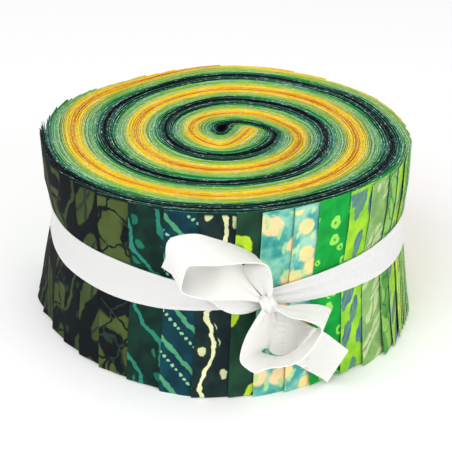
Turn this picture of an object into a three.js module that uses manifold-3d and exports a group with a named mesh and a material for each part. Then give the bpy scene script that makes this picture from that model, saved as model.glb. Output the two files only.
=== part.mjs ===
// A roll of precut cotton strips tied with a ribbon. Millimetres, +Z up, front of the roll towards -Y.
// Forty strips lie in one stack, folded in half across the middle. The fold is at the centre of the
// roll, the stack winds outward clockwise as seen from above, and its eighty ends step round the outside.

import * as THREE from 'three';
import { mergeVertices } from 'three/addons/utils/BufferGeometryUtils.js';
import Module from 'manifold-3d';

const wasm = await Module();
wasm.setup();

// Cloth sizes
const STRIP_WIDTH = 63.5;
const TURN_PITCH = 19.6;
const SHEET = 1.0;
const CLEARANCE = 0.35;
const GROOVE = 0.5;
const ENVELOPE_SIDES = 72;
const MERGE = 1e-3;

// Outline of the roll: mean radius, and how far it is longer to the back and in depth
const OUTLINE = { mean: 61.5, toBack: 1.2, depth: 1.2 };

// The ribbon draws the roll in at its waist
const WAIST = {
  depth: 2.2, toFront: -0.6, toRight: -0.5, halfHeight: 10, tilt: 1.8, tiltAt: 10, height: 36.5,
};

// Unevenness by azimuth: how far the cloth stands beyond that outline, and how far its feet spread beyond it
const UNEVEN = [
  { at: -150, outline: -2.2, foot: 2.5 },
  { at: -110, outline: 1.8, foot: 4.0 },
  { at: -88, outline: 0.9, foot: 4.4 },
  { at: -74, outline: 0.8, foot: 1.6 },
  { at: -48, outline: 0.2, foot: 0.3 },
  { at: -30, outline: 0.0, foot: 0.5 },
  { at: -7, outline: 0.0, foot: 2.3 },
  { at: 4, outline: 0.0, foot: 1.4 },
  { at: 22, outline: 0.0, foot: 1.2 },
  { at: 37, outline: 0.2, foot: 0.8 },
  { at: 57, outline: 1.3, foot: 2.8 },
  { at: 70, outline: 2.2, foot: 2.0 },
  { at: 88, outline: 0.9, foot: 2.9 },
  { at: 95, outline: 0.6, foot: 4.4 },
  { at: 125, outline: -0.2, foot: 3.0 },
  { at: 153, outline: -1.0, foot: 2.0 },
  { at: 180, outline: 1.4, foot: 1.5 },
  { at: 210, outline: -2.2, foot: 2.5 },
];
const FEET_HEIGHT = 34;

// Heights at which every upright cloth face has its points
const LEVELS = [0, 13, 26, 36, 46, STRIP_WIDTH];

// Shingled ends: how far the cover of sheets stands off the wound core, and how one tucks under the next
const COVER = 2 * SHEET + 2 * CLEARANCE;
const TUCK = { under: 3.5, flat: 4, slopeEnd: 10, lean: 2.5, flare: 1.4 };

// Spiral of the contact line between turns, from its own centre
const SPIRAL = { x: 1.3, y: -0.5, start: 21.3, flatten: 4.1, lastTurn: 1056, step: 12 };

// Ribs of the band where it starts at the fold: its inner edge, its middle and its outer edge
const CORE_RIBS = [
  { inner: [0.9, 5.4], middle: [7.6, 0.4], outer: [16.4, -5.0] },
  { inner: [0.8, 2.8], middle: [5.6, -4.0], outer: [15.0, -10.4] },
  { inner: [0.3, 0.6], middle: [3.0, -8.6], outer: [11.2, -15.8] },
  { inner: [-0.6, -1.0], middle: [-0.6, -11.8], outer: [4.2, -20.4] },
  { inner: [-1.6, -1.4], middle: [-4.4, -11.0], outer: [-4.2, -20.8] },
  { inner: [-2.5, -0.6], middle: [-8.6, -6.8], outer: [-12.8, -16.0] },
  { inner: [-3.2, 1.0], middle: [-11.2, -1.0], outer: [-18.6, -7.0] },
  { inner: [-3.4, 3.2], middle: [-11.4, 5.2], outer: [-20.2, 3.4] },
  { inner: [-2.4, 5.4], middle: [-9.2, 11.0], outer: [-18.0, 13.6] },
  { inner: [-0.4, 7.0], middle: [-4.0, 15.0], outer: [-11.0, 22.6] },
  { inner: [4.0, 7.8], middle: [3.4, 16.2], outer: [0.0, 28.6] },
  { inner: [9.0, 6.6], middle: [10.8, 14.0], outer: [12.4, 26.4] },
  { inner: [13.4, 3.4], middle: [17.2, 8.8], outer: [23.6, 19.6] },
  { inner: [16.8, -1.6], middle: [22.6, 2.4], outer: [31.4, 8.1] },
];
const CORE_STATIONS = 30;

// Ribs that fan from the last of these round to the even spiral, which starts so many degrees later
const FAN = { turn: 36, ribs: 2 };

// Flat end of the folded band, from its inner corner round to its outer corner
const FOLD_END = [[1.6, 6.8], [5.0, 6.9], [8.6, 6.0], [12.2, 3.4], [14.8, 0.4], [16.4, -2.2]];
const FOLD_MIDDLE = [8.4, 2.4];

// Ridges of the colour groups across half the band, from its middle to its edge: share and dip
const RIDGES = [
  { share: 0, dip: 0.5 },
  { share: 0.17, dip: 0 },
  { share: 0.36, dip: 1.3 },
  { share: 0.6, dip: 0.3 },
  { share: 0.84, dip: 1.3 },
  { share: 0.92, dip: 0.7 },
  { share: 1, dip: 2.2 },
];

const degrees = THREE.MathUtils.degToRad;

// Direction from the roll's axis at an azimuth: 0 is the front, 90 the right, 180 the back
function direction(azimuth) {
  return new THREE.Vector2(Math.sin(degrees(azimuth)), -Math.cos(degrees(azimuth)));
}

function uneven(azimuth, key) {
  const first = UNEVEN[0].at;
  const at = THREE.MathUtils.euclideanModulo(azimuth - first, 360) + first;
  const after = UNEVEN.findIndex((row) => row.at > at);
  const [from, to] = [UNEVEN[after - 1], UNEVEN[after]];
  return THREE.MathUtils.lerp(from[key], to[key], THREE.MathUtils.smoothstep(at, from.at, to.at));
}

function ribbonHeight(azimuth) {
  return WAIST.height - WAIST.tilt * Math.cos(degrees(azimuth - WAIST.tiltAt));
}

// Outside radius of the cloth at one of the levels
function surfaceAtLevel(azimuth, z) {
  const c = Math.cos(degrees(azimuth));
  const s = Math.sin(degrees(azimuth));
  const oval = OUTLINE.mean - OUTLINE.toBack * c + OUTLINE.depth * Math.cos(2 * degrees(azimuth));
  const offset = (z - ribbonHeight(azimuth)) / WAIST.halfHeight;
  const pinch = (WAIST.depth + WAIST.toFront * c + WAIST.toRight * s) * Math.exp(-offset * offset);
  const foot = Math.max(0, 1 - z / FEET_HEIGHT);
  return oval + uneven(azimuth, 'outline') - pinch + uneven(azimuth, 'foot') * foot * foot;
}

// Outside radius at any height, straight between the levels as the faceted cloth is
function surface(azimuth, z) {
  let i = 0;
  while (i < LEVELS.length - 2 && z > LEVELS[i + 1]) i += 1;
  const [low, high] = [LEVELS[i], LEVELS[i + 1]];
  const share = THREE.MathUtils.clamp((z - low) / (high - low), 0, 1);
  return THREE.MathUtils.lerp(surfaceAtLevel(azimuth, low), surfaceAtLevel(azimuth, high), share);
}

// Like points merged into one, and the faces that this leaves without an area dropped
function mergedGeometry(raw) {
  const merged = mergeVertices(raw, MERGE);
  const index = Array.from(merged.index.array);
  const kept = [];
  for (let i = 0; i < index.length; i += 3) {
    const [a, b, c] = index.slice(i, i + 3);
    if (a !== b && b !== c && c !== a) kept.push(a, b, c);
  }
  merged.setIndex(kept);
  return merged;
}

function closedGeometry(points, faces) {
  const raw = new THREE.BufferGeometry();
  raw.setAttribute('position', new THREE.Float32BufferAttribute(points.flatMap((p) => [p.x, p.y, p.z]), 3));
  raw.setIndex(faces.flat());
  return mergedGeometry(raw);
}

function toSolid(geometry) {
  return new wasm.Manifold(new wasm.Mesh({
    numProp: 3,
    vertProperties: new Float32Array(geometry.attributes.position.array),
    triVerts: new Uint32Array(geometry.index.array),
  }));
}

function toGeometry(solid) {
  const mesh = solid.getMesh();
  const geometry = new THREE.BufferGeometry();
  geometry.setAttribute('position', new THREE.BufferAttribute(new Float32Array(mesh.vertProperties), 3));
  geometry.setIndex(new THREE.BufferAttribute(new Uint32Array(mesh.triVerts), 1));
  return geometry;
}

// Closed sheet between an outer and an inner grid of points, rows along it and columns across it
function sheetGeometry(outer, inner) {
  const rows = outer.length;
  const columns = outer[0].length;
  const points = [...outer.flat(), ...inner.flat()];
  const back = rows * columns;
  const at = (row, column) => row * columns + column;
  const faces = [];
  for (let r = 0; r < rows - 1; r += 1) {
    for (let c = 0; c < columns - 1; c += 1) {
      const [p, q, s, t] = [at(r, c), at(r, c + 1), at(r + 1, c + 1), at(r + 1, c)];
      faces.push([p, q, s], [p, s, t], [back + p, back + s, back + q], [back + p, back + t, back + s]);
    }
  }
  const rim = [];
  for (let c = 0; c < columns; c += 1) rim.push(at(0, c));
  for (let r = 1; r < rows; r += 1) rim.push(at(r, columns - 1));
  for (let c = columns - 2; c >= 0; c -= 1) rim.push(at(rows - 1, c));
  for (let r = rows - 2; r > 0; r -= 1) rim.push(at(r, 0));
  rim.forEach((p, i) => {
    const q = rim[(i + 1) % rim.length];
    faces.push([p, back + p, back + q], [p, back + q, q]);
  });
  return closedGeometry(points, faces.map((face) => face.reverse()));
}

function finish(name, geometry, colour, roughness) {
  const flat = geometry.toNonIndexed();
  flat.computeVertexNormals();
  const material = new THREE.MeshStandardMaterial({ color: colour, roughness, metalness: 0 });
  const mesh = new THREE.Mesh(flat, material);
  mesh.name = name;
  return mesh;
}

// Outer edges of the first ribs as degrees wound from the front and radius, about the spiral's centre
const FIRST_CONTACT = CORE_RIBS.map(({ outer: [x, y] }, i) => {
  const azimuth = THREE.MathUtils.radToDeg(Math.atan2(x - SPIRAL.x, SPIRAL.y - y));
  const wound = i > CORE_RIBS.length / 2 && azimuth > 0 ? 360 - azimuth : -azimuth;
  return { wound, radius: Math.hypot(x - SPIRAL.x, y - SPIRAL.y) };
});

// Radius of the contact line: along the first ribs, then an even spiral that is flatter at its sides
function contactRadius(wound) {
  const after = FIRST_CONTACT.findIndex((row) => row.wound > wound);
  if (after > 0) {
    const [from, to] = [FIRST_CONTACT[after - 1], FIRST_CONTACT[after]];
    return THREE.MathUtils.mapLinear(wound, from.wound, to.wound, from.radius, to.radius);
  }
  if (after === 0) return FIRST_CONTACT[0].radius;
  const side = Math.sin(degrees(wound));
  return SPIRAL.start + TURN_PITCH * wound / 360 - SPIRAL.flatten * side * side;
}

function spiralPoint(wound, radius) {
  const d = direction(-wound);
  return new THREE.Vector2(SPIRAL.x + d.x * radius, SPIRAL.y + d.y * radius);
}

// Ribs that swing round from the last one set by hand until they point at the spiral's centre
function fanRibs(last) {
  const turned = (p) => 360 - THREE.MathUtils.radToDeg(Math.atan2(p.x - SPIRAL.x, SPIRAL.y - p.y));
  const start = FIRST_CONTACT.at(-1).wound;
  const end = start + FAN.turn;
  const lastMiddle = Math.hypot(last.middle.x - SPIRAL.x, last.middle.y - SPIRAL.y);
  const endMiddle = (contactRadius(end) + contactRadius(end - 360)) / 2;
  const ribs = [];
  for (let i = 1; i <= FAN.ribs; i += 1) {
    const t = i / (FAN.ribs + 1);
    const inner = THREE.MathUtils.lerp(turned(last.inner), end, t);
    const middle = THREE.MathUtils.lerp(turned(last.middle), end, t);
    const outer = THREE.MathUtils.lerp(start, end, t);
    ribs.push({
      inner: spiralPoint(inner, contactRadius(inner - 360)),
      middle: spiralPoint(middle, THREE.MathUtils.lerp(lastMiddle, endMiddle, t)),
      outer: spiralPoint(outer, contactRadius(outer)),
    });
  }
  return ribs;
}

// Ribs of the whole band from the fold to its last turn
function bandRibs() {
  const ribs = [];
  const column = (key) => new THREE.SplineCurve(CORE_RIBS.map((rib) => new THREE.Vector2(...rib[key])));
  const curves = { inner: column('inner'), middle: column('middle'), outer: column('outer') };
  for (let i = 0; i <= CORE_STATIONS; i += 1) {
    const t = i / CORE_STATIONS;
    ribs.push({
      inner: curves.inner.getPoint(t),
      middle: curves.middle.getPoint(t),
      outer: curves.outer.getPoint(t),
    });
  }
  ribs.push(...fanRibs(ribs.at(-1)));
  for (let wound = FIRST_CONTACT.at(-1).wound + FAN.turn; wound <= SPIRAL.lastTurn; wound += SPIRAL.step) {
    const outer = contactRadius(wound);
    const inner = contactRadius(wound - 360);
    ribs.push({
      inner: spiralPoint(wound, inner),
      middle: spiralPoint(wound, (inner + outer) / 2),
      outer: spiralPoint(wound, outer),
    });
  }
  return ribs;
}

// Height of the cut edges: ridged across the band, with slow waves along it
function topHeight(station, dip) {
  const wave = 0.35 * Math.sin(station * 0.9) + 0.25 * Math.sin(station * 0.37 + 1);
  return STRIP_WIDTH - 0.6 - dip + wave;
}

function makeRoll() {
  const ribs = bandRibs();
  const hairpin = [];
  const leg = (key) => ribs.map((rib, i) => ({ middle: rib.middle, edge: rib[key], station: i }));
  hairpin.push(...leg('inner').reverse());
  FOLD_END.forEach((p) => {
    hairpin.push({ middle: new THREE.Vector2(...FOLD_MIDDLE), edge: new THREE.Vector2(...p), station: 0 });
  });
  hairpin.push(...leg('outer'));
  const columns = RIDGES.length;
  const last = columns - 1;
  const points = [];
  hairpin.forEach((rib) => {
    const width = rib.edge.distanceTo(rib.middle);
    RIDGES.forEach((ridge) => {
      const share = ridge.share * (1 - GROOVE / 2 / width);
      const p = new THREE.Vector2().lerpVectors(rib.middle, rib.edge, share);
      points.push(new THREE.Vector3(p.x, p.y, topHeight(rib.station, ridge.dip)));
    });
  });
  const feet = points.length;
  hairpin.forEach((rib, i) => {
    const edge = points[i * columns + last];
    points.push(new THREE.Vector3(rib.middle.x, rib.middle.y, 0), new THREE.Vector3(edge.x, edge.y, 0));
  });
  const faces = [];
  for (let i = 0; i < hairpin.length - 1; i += 1) {
    for (let j = 0; j < last; j += 1) {
      const [p, q] = [i * columns + j, i * columns + j + 1];
      const [s, t] = [(i + 1) * columns + j + 1, (i + 1) * columns + j];
      faces.push([p, q, s], [p, s, t]);
    }
    const [mid, edge, nextMid, nextEdge] = [0, 1, 2, 3].map((corner) => feet + 2 * i + corner);
    const [top, nextTop] = [i * columns + last, (i + 1) * columns + last];
    faces.push([mid, nextEdge, edge], [mid, nextMid, nextEdge]);
    faces.push([top, edge, nextEdge], [top, nextEdge, nextTop]);
  }
  const end = hairpin.length - 1;
  const middleFoot = feet + 2 * end;
  for (let j = 0; j < last; j += 1) {
    faces.push([middleFoot, j + 1, j], [middleFoot, end * columns + j, end * columns + j + 1]);
  }
  faces.push([middleFoot, feet + 1, last], [middleFoot, end * columns + last, middleFoot + 1]);
  const band = toSolid(closedGeometry(points, faces.map((face) => face.reverse())));
  const outline = toSolid(envelopeGeometry());
  return finish('roll', toGeometry(band.intersect(outline)), '#3d7f76', 0.9);
}

// Outside of the wound core: the cloth's surface less the cover of loose ends
function envelopeGeometry() {
  const sides = ENVELOPE_SIDES;
  const points = [];
  const faces = [];
  LEVELS.forEach((z) => {
    for (let i = 0; i < sides; i += 1) {
      const azimuth = 360 * i / sides;
      const p = direction(azimuth).multiplyScalar(surfaceAtLevel(azimuth, z) - COVER);
      points.push(new THREE.Vector3(p.x, p.y, z));
    }
  });
  const foot = points.push(new THREE.Vector3(0, 0, 0)) - 1;
  const top = points.push(new THREE.Vector3(0, 0, STRIP_WIDTH)) - 1;
  const row = (level, i) => level * sides + i % sides;
  for (let i = 0; i < sides; i += 1) {
    for (let level = 0; level < LEVELS.length - 1; level += 1) {
      const [p, q] = [row(level, i), row(level, i + 1)];
      const [s, t] = [row(level + 1, i + 1), row(level + 1, i)];
      faces.push([p, q, s], [p, s, t]);
    }
    const last = LEVELS.length - 1;
    faces.push([foot, row(0, i + 1), row(0, i)], [top, row(last, i), row(last, i + 1)]);
  }
  return closedGeometry(points, faces);
}

// Cut ends of the strips that show, by the azimuth of each cut edge, with the colour of its cloth
const FRONT_ENDS = [
  { at: -88, colour: '#1d2626' },
  { at: -78, colour: '#20302c' },
  { at: -68, colour: '#1f2b2b' },
  { at: -59, colour: '#24322b' },
  { at: -50, colour: '#1c2729' },
  { at: -40.5, colour: '#2c3a2a' },
  { at: -29.5, colour: '#24463b' },
  { at: -18.4, colour: '#1f4a4d' },
  { at: -8.5, colour: '#27392c' },
  { at: 1.9, colour: '#2c5236' },
  { at: 9.1, colour: '#69b3a0' },
  { at: 18.6, colour: '#7fbc9b' },
  { at: 26.5, colour: '#4f9a54' },
  { at: 37.7, colour: '#8db04d' },
  { at: 46.6, colour: '#93ad6b' },
  { at: 55.7, colour: '#7da35c' },
];
const BACK_ENDS = { from: 64.7, to: 263, count: 21 };
const BACK_COLOURS = [
  { upTo: 90, colour: '#b9c24a' },
  { upTo: 115, colour: '#d9c63f' },
  { upTo: 145, colour: '#e0a83a' },
  { upTo: 195, colour: '#c9662c' },
  { upTo: 215, colour: '#d8b640' },
  { upTo: 240, colour: '#5f9d63' },
  { upTo: 270, colour: '#23403c' },
];

function stripEnds() {
  const ends = FRONT_ENDS.map((end) => ({ ...end }));
  for (let i = 0; i < BACK_ENDS.count; i += 1) {
    const at = THREE.MathUtils.lerp(BACK_ENDS.from, BACK_ENDS.to, i / (BACK_ENDS.count - 1));
    ends.push({ at, colour: BACK_COLOURS.find((row) => at <= row.upTo).colour });
  }
  return ends;
}

// One loose end: a sheet that lies over its left neighbour at its cut edge and under its right one
function makeStripEnd(name, number, at, nextAt, colour) {
  const span = nextAt + TUCK.under - at;
  const slopeEnd = Math.min(TUCK.slopeEnd, nextAt - at - 0.5);
  const stations = [0, TUCK.flat / 2, TUCK.flat, slopeEnd, (slopeEnd + span) / 2, span];
  const foot = 0.9 + 0.6 * Math.sin(number * 2.4);
  const head = 0.5 + 0.4 * Math.sin(number * 1.7 + 1);
  const outer = [];
  const inner = [];
  stations.forEach((along) => {
    const drop = THREE.MathUtils.smoothstep(along, TUCK.flat, slopeEnd) * (SHEET + CLEARANCE);
    const free = Math.max(0, 1 - along / TUCK.flat);
    const outerRow = [];
    const innerRow = [];
    LEVELS.forEach((level, i) => {
      const z = i === 0 ? foot : i === LEVELS.length - 1 ? level - head : level;
      const azimuth = at + along - TUCK.lean * (1 - level / STRIP_WIDTH);
      const flare = i === 0 ? TUCK.flare * free : 0;
      const radius = surface(azimuth, z) - drop + flare;
      const d = direction(azimuth);
      outerRow.push(new THREE.Vector3(d.x * radius, d.y * radius, z));
      innerRow.push(new THREE.Vector3(d.x * (radius - SHEET), d.y * (radius - SHEET), z));
    });
    outer.push(outerRow);
    inner.push(innerRow);
  });
  return finish(name, sheetGeometry(outer, inner), colour, 0.92);
}

// Ribbon sizes, and the place of its knot on the front of the roll
const RIBBON = {
  width: 13.5, thick: 1.0, off: 0.5, narrowing: 22, knotWidth: 7, sections: 48, steps: 2, columns: 3,
};
const KNOT = {
  azimuth: 12.7, height: 32.7, radius: 60.2, across: -1.4, up: 1.4, out: 3.0,
  halfWidth: 3.2, halfHeight: 3.6, halfDepth: 3.2, sides: 14, rings: 9,
};

// Routes of the bow from the knot: one edge of the ribbon and the other, each as across, up and out
const LOOP_LEFT = [
  { low: [-3.2, 2.1, 4.0], high: [-2.5, 2.2, 2.5] },
  { low: [-9.4, 5.7, 8.0], high: [-8.0, 10.6, 0.8] },
  { low: [-16.2, 8.3, 11.0], high: [-13.4, 17.6, 0.5] },
  { low: [-21.4, 9.9, 12.5], high: [-20.3, 15.8, -0.5] },
  { low: [-26.2, 12.2, 13.5], high: [-25.9, 14.4, 0.0] },
  { low: [-29.7, 15.0, 14.5], high: [-29.1, 12.2, 2.0] },
  { low: [-29.5, 19.0, 15.5], high: [-31.2, 17.5, 4.0] },
  { low: [-28.2, 22.4, 16.5], high: [-32.5, 23.7, 6.0] },
  { low: [-25.3, 23.6, 17.0], high: [-31.2, 28.6, 7.4] },
  { low: [-21.0, 23.6, 17.0], high: [-24.0, 28.0, 5.0] },
  { low: [-16.4, 23.2, 16.5], high: [-17.9, 25.3, 4.0] },
  { low: [-9.8, 22.1, 15.0], high: [-10.1, 20.9, 2.5] },
  { low: [-5.2, 20.4, 13.5], high: [-4.3, 16.0, 1.5] },
  { low: [-3.0, 17.3, 12.0], high: [-8.6, 13.2, 1.0] },
  { low: [-1.4, 11.2, 9.0], high: [-8.2, 8.0, 1.2] },
  { low: [-0.5, 5.8, 5.5], high: [-4.6, 4.0, 2.0] },
  { low: [-1.5, 3.2, 4.5], high: [-2.4, 1.9, 2.0] },
];
const LOOP_RIGHT = [
  { low: [-1.0, 1.4, 5.0], high: [-0.3, 0.2, 2.5] },
  { low: [1.1, 0.6, 9.0], high: [4.7, -1.6, 1.5] },
  { low: [4.3, -0.5, 11.0], high: [9.6, -2.0, 1.0] },
  { low: [8.1, -0.7, 13.0], high: [15.4, -3.0, 1.0] },
  { low: [11.9, -2.4, 14.0], high: [18.7, -4.3, 1.5] },
  { low: [12.4, -5.3, 14.5], high: [17.9, -8.5, 2.0] },
  { low: [9.5, -10.2, 14.5], high: [14.9, -11.4, 2.0] },
  { low: [5.5, -14.1, 14.5], high: [11.3, -15.6, 2.0] },
  { low: [0.4, -15.0, 14.5], high: [7.2, -18.2, 2.0] },
  { low: [-3.8, -14.9, 14.5], high: [3.4, -19.3, 2.0] },
  { low: [-7.5, -15.9, 14.5], high: [-0.5, -18.0, 2.0] },
  { low: [-10.4, -14.0, 14.0], high: [-2.8, -16.6, 2.0] },
  { low: [-11.9, -12.0, 13.0], high: [-2.0, -15.6, 1.5] },
  { low: [-11.1, -9.5, 11.0], high: [0.1, -15.1, 1.5] },
  { low: [-9.0, -6.1, 9.0], high: [0.9, -11.1, 1.2] },
  { low: [-6.2, -3.2, 7.0], high: [1.6, -6.8, 1.2] },
  { low: [-2.8, 0.2, 5.0], high: [0.5, -1.6, 2.0] },
];
const TAIL_RIGHT = [
  { low: [-0.1, -1.5, 2.0], high: [0.6, -1.1, 1.6] },
  { low: [-1.7, -9.0, 1.0], high: [4.3, -3.7, 1.0] },
  { low: [0.0, -16.9, 0.8], high: [8.5, -6.9, 0.8] },
  { low: [4.2, -19.7, 0.6], high: [13.0, -10.3, 0.6] },
  { low: [10.0, -24.5, 0.2], high: [17.8, -13.5, 0.3] },
  { low: [14.9, -28.4, 0.2], high: [22.5, -18.0, -0.2] },
  { low: [19.5, -32.1, 1.0], high: [26.6, -22.2, -0.6] },
];
const TAIL_LEFT = [
  { low: [-2.7, -1.2, 2.0], high: [-2.7, 0.2, 2.0] },
  { low: [-6.5, -2.1, 2.6], high: [-7.7, 3.3, 2.0] },
  { low: [-10.6, -2.1, 2.6], high: [-13.2, 6.9, 1.6] },
  { low: [-14.5, -0.7, 2.0], high: [-17.9, 10.6, 1.0] },
  { low: [-19.9, 3.4, 0.0], high: [-22.5, 14.3, 0.0] },
  { low: [-25.2, 7.6, -2.4], high: [-26.9, 16.3, -2.4] },
  { low: [-31.9, 12.2, -6.0], high: [-30.4, 16.5, -5.2] },
];

// A point of the bow, held clear of the cloth behind it
function bowPoint([across, up, out]) {
  const n = direction(KNOT.azimuth);
  const p = new THREE.Vector3(
    n.x * (KNOT.radius + out) - n.y * across,
    n.y * (KNOT.radius + out) + n.x * across,
    KNOT.height + up,
  );
  const flat = Math.hypot(p.x, p.y);
  const azimuth = THREE.MathUtils.radToDeg(Math.atan2(p.x, -p.y));
  const flare = TUCK.flare * Math.max(0, 1 - p.z / LEVELS[1]);
  const least = surface(azimuth, p.z) + flare + RIBBON.off + RIBBON.thick / 2;
  if (flat < least) {
    p.x *= least / flat;
    p.y *= least / flat;
  }
  return p;
}

// Thin solid of a stretch of ribbon through the given rows
function ribbonStretch(rows) {
  const lows = new THREE.CatmullRomCurve3(rows.map((row) => bowPoint(row.low)), false, 'centripetal');
  const highs = new THREE.CatmullRomCurve3(rows.map((row) => bowPoint(row.high)), false, 'centripetal');
  const steps = RIBBON.steps * (rows.length - 1);
  const last = RIBBON.columns - 1;
  const grid = [];
  for (let i = 0; i <= steps; i += 1) {
    const low = lows.getPoint(i / steps);
    const high = highs.getPoint(i / steps);
    const row = [];
    for (let j = 0; j <= last; j += 1) row.push(new THREE.Vector3().lerpVectors(low, high, j / last));
    grid.push(row);
  }
  const normalAt = (i, j) => {
    const before = grid[Math.max(0, i - 1)][j];
    const after = grid[Math.min(steps, i + 1)][j];
    const along = new THREE.Vector3().subVectors(after, before);
    const across = new THREE.Vector3().subVectors(grid[i][last], grid[i][0]);
    return along.cross(across).normalize().multiplyScalar(RIBBON.thick / 2);
  };
  const front = grid.map((row, i) => row.map((p, j) => p.clone().add(normalAt(i, j))));
  const back = grid.map((row, i) => row.map((p, j) => p.clone().sub(normalAt(i, j))));
  return toSolid(sheetGeometry(front, back));
}

// The band of ribbon round the waist, folded narrower where it goes into the knot
function ribbonBand() {
  const outer = [];
  const inner = [];
  for (let i = 0; i <= RIBBON.sections; i += 1) {
    const azimuth = KNOT.azimuth + 360 * (i % RIBBON.sections) / RIBBON.sections;
    const turned = Math.min(azimuth - KNOT.azimuth, KNOT.azimuth + 360 - azimuth);
    const open = THREE.MathUtils.smoothstep(turned, 0, RIBBON.narrowing);
    const half = THREE.MathUtils.lerp(RIBBON.knotWidth, RIBBON.width, open) / 2;
    const d = direction(azimuth);
    const outerRow = [];
    const innerRow = [];
    [-half, 0, half].forEach((offset) => {
      const z = ribbonHeight(azimuth) + offset;
      const radius = surface(azimuth, z) + RIBBON.off;
      innerRow.push(new THREE.Vector3(d.x * radius, d.y * radius, z));
      outerRow.push(new THREE.Vector3(d.x * (radius + RIBBON.thick), d.y * (radius + RIBBON.thick), z));
    });
    outer.push(outerRow);
    inner.push(innerRow);
  }
  return ringSolid(outer, inner);
}

// Closed ring from rows of outer and inner points that come back to where they start
function ringSolid(outer, inner) {
  const loops = outer.map((row, i) => [...row, ...inner[i].slice().reverse()]);
  const size = loops[0].length;
  const points = loops.flat();
  const faces = [];
  for (let i = 0; i < loops.length - 1; i += 1) {
    for (let j = 0; j < size; j += 1) {
      const [p, q] = [i * size + j, i * size + (j + 1) % size];
      const [s, t] = [q + size, p + size];
      faces.push([p, s, q], [p, t, s]);
    }
  }
  return toSolid(closedGeometry(points, faces));
}

// The knot: a rounded wrap, wider than a ball at its sides
function knotSolid() {
  const ball = new THREE.SphereGeometry(1, KNOT.sides, KNOT.rings);
  ball.deleteAttribute('normal');
  ball.deleteAttribute('uv');
  const n = direction(KNOT.azimuth);
  const place = ball.attributes.position;
  for (let i = 0; i < place.count; i += 1) {
    const across = KNOT.across + KNOT.halfWidth * place.getX(i);
    const up = KNOT.up + KNOT.halfHeight * place.getY(i);
    const out = KNOT.out + KNOT.halfDepth * place.getZ(i);
    const r = KNOT.radius + out;
    place.setXYZ(i, n.x * r - n.y * across, n.y * r + n.x * across, KNOT.height + up);
  }
  return toSolid(mergedGeometry(ball));
}

// Each loop is made in two stretches, which part where it turns back
const TURNS_BACK = { left: 6, right: 8 };

function makeRibbon() {
  const stretches = [
    LOOP_LEFT.slice(0, TURNS_BACK.left + 1), LOOP_LEFT.slice(TURNS_BACK.left),
    LOOP_RIGHT.slice(0, TURNS_BACK.right + 1), LOOP_RIGHT.slice(TURNS_BACK.right),
    TAIL_RIGHT, TAIL_LEFT,
  ];
  const pieces = [knotSolid(), ...stretches.map(ribbonStretch)];
  const tied = pieces.reduce((sum, piece) => sum.add(piece), ribbonBand());
  return finish('ribbon', toGeometry(tied), '#e9e6dc', 0.6);
}

// The whole thing stands on its base, with the origin at the bottom centre of its box
const group = new THREE.Group();
group.add(makeRoll());
const ends = stripEnds();
ends.forEach((end, i) => {
  const nextAt = i + 1 < ends.length ? ends[i + 1].at : ends[0].at + 360;
  const name = `strip_end_${String(i + 1).padStart(2, '0')}`;
  group.add(makeStripEnd(name, i, end.at, nextAt, end.colour));
});
group.add(makeRibbon());
const box = new THREE.Box3().setFromObject(group);
const centre = box.getCenter(new THREE.Vector3());
group.position.set(-centre.x, -centre.y, -box.min.z);

export default group;
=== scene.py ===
import math

import bpy
import numpy as np
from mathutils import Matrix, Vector
from mathutils.bvhtree import BVHTree


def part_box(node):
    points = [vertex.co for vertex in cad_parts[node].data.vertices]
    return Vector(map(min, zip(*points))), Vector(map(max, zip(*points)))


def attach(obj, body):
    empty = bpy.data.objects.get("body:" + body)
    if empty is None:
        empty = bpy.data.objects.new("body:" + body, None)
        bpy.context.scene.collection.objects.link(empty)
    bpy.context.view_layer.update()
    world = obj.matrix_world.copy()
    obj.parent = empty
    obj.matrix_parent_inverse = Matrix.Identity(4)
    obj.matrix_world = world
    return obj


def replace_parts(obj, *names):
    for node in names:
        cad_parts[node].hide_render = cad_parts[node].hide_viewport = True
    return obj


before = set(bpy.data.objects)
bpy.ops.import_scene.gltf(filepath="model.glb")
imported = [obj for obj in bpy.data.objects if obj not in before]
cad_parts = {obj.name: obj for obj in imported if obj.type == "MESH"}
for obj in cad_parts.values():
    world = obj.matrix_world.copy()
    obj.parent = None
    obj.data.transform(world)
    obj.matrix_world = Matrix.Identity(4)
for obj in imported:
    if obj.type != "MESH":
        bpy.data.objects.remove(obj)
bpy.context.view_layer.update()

# The place of the roll
# The stack is wound about an upright axis, which stands a little off the middle of the wound core's box
# because the free feet spread to the left and the back is longer.
MM = 0.001
HEIGHT = 63.5
AXIS_OFF = (-1.41, -1.74)
ROLL_LOW, ROLL_HIGH = (np.array(corner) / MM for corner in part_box("roll"))
AXIS_X, AXIS_Y = ((ROLL_LOW + ROLL_HIGH) / 2)[:2] + AXIS_OFF

# The camera
# It looks down on the front of the roll from the photograph's height, through a long lens.
CAMERA_FROM = (0.15, -394.4, 228.8)
CAMERA_DOWN = 26.95
camera_data = bpy.data.cameras.new("camera")
camera_data.lens = 101.3
camera_data.sensor_width = 36
camera_data.clip_start = 0.01
camera = bpy.data.objects.new("camera", camera_data)
camera.location = [(CAMERA_FROM[0] + AXIS_X) * MM, (CAMERA_FROM[1] + AXIS_Y) * MM, CAMERA_FROM[2] * MM]
camera.rotation_euler = (math.radians(90 - CAMERA_DOWN), 0, 0)
bpy.context.scene.collection.objects.link(camera)
bpy.context.scene.camera = camera

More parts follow.
